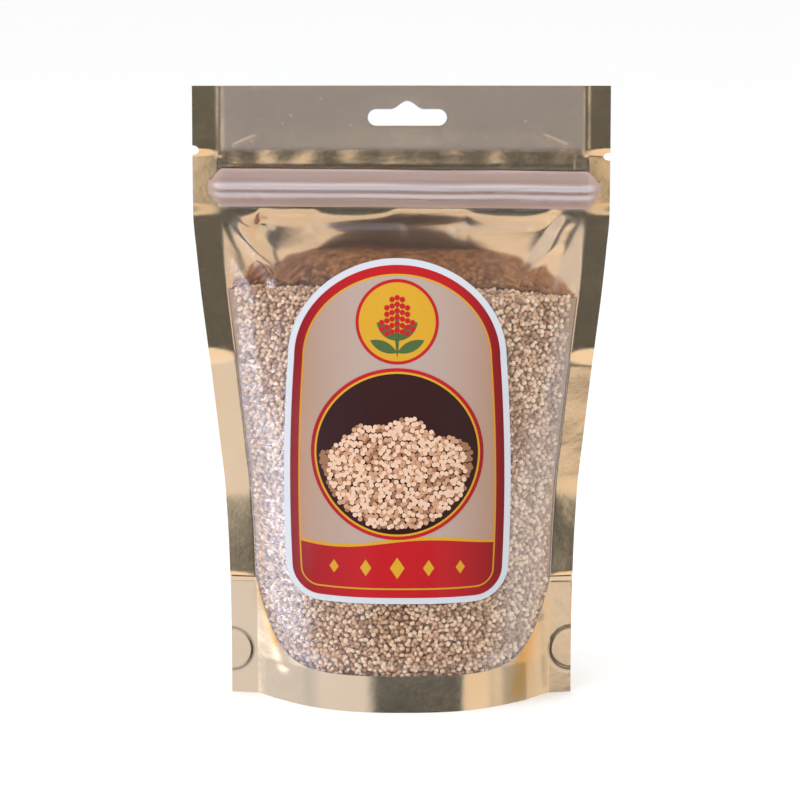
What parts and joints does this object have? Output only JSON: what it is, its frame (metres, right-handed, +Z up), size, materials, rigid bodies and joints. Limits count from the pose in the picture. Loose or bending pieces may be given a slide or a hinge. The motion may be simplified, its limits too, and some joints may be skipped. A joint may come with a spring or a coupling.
{
  "type": "stand-up zip pouch of quinoa seed",
  "caption": "Stand-up zip pouch of pale quinoa seed with a clear front, gold foil back and skirt, hang hole, press zip and a bright arched label.",
  "frame": {"origin": "on the floor, midway between the outer edges of the side seals and between the front and the back of the skirt", "axes": "+Z up the pouch, -Y out of its clear front, +X to the right seen from the front"},
  "size_m": [0.12, 0.048, 0.18],
  "materials": {
    "gold_foil": "satin metallised gold film, with soft reflections and fine creases",
    "clear_film": "clear glossy film, crinkled over the seed",
    "zip_plastic": "milky press zip strip seen through the front film",
    "label_print": "glossy printed sticker in red, cream, gold and brown, with a white edge",
    "quinoa_seed": "dry matt seed, pale tan to ivory"
  },
  "bodies": {
    "root": {"pouch": "gold_foil", "zipper": "zip_plastic", "label": "label_print"}
  },
  "joints": []
}
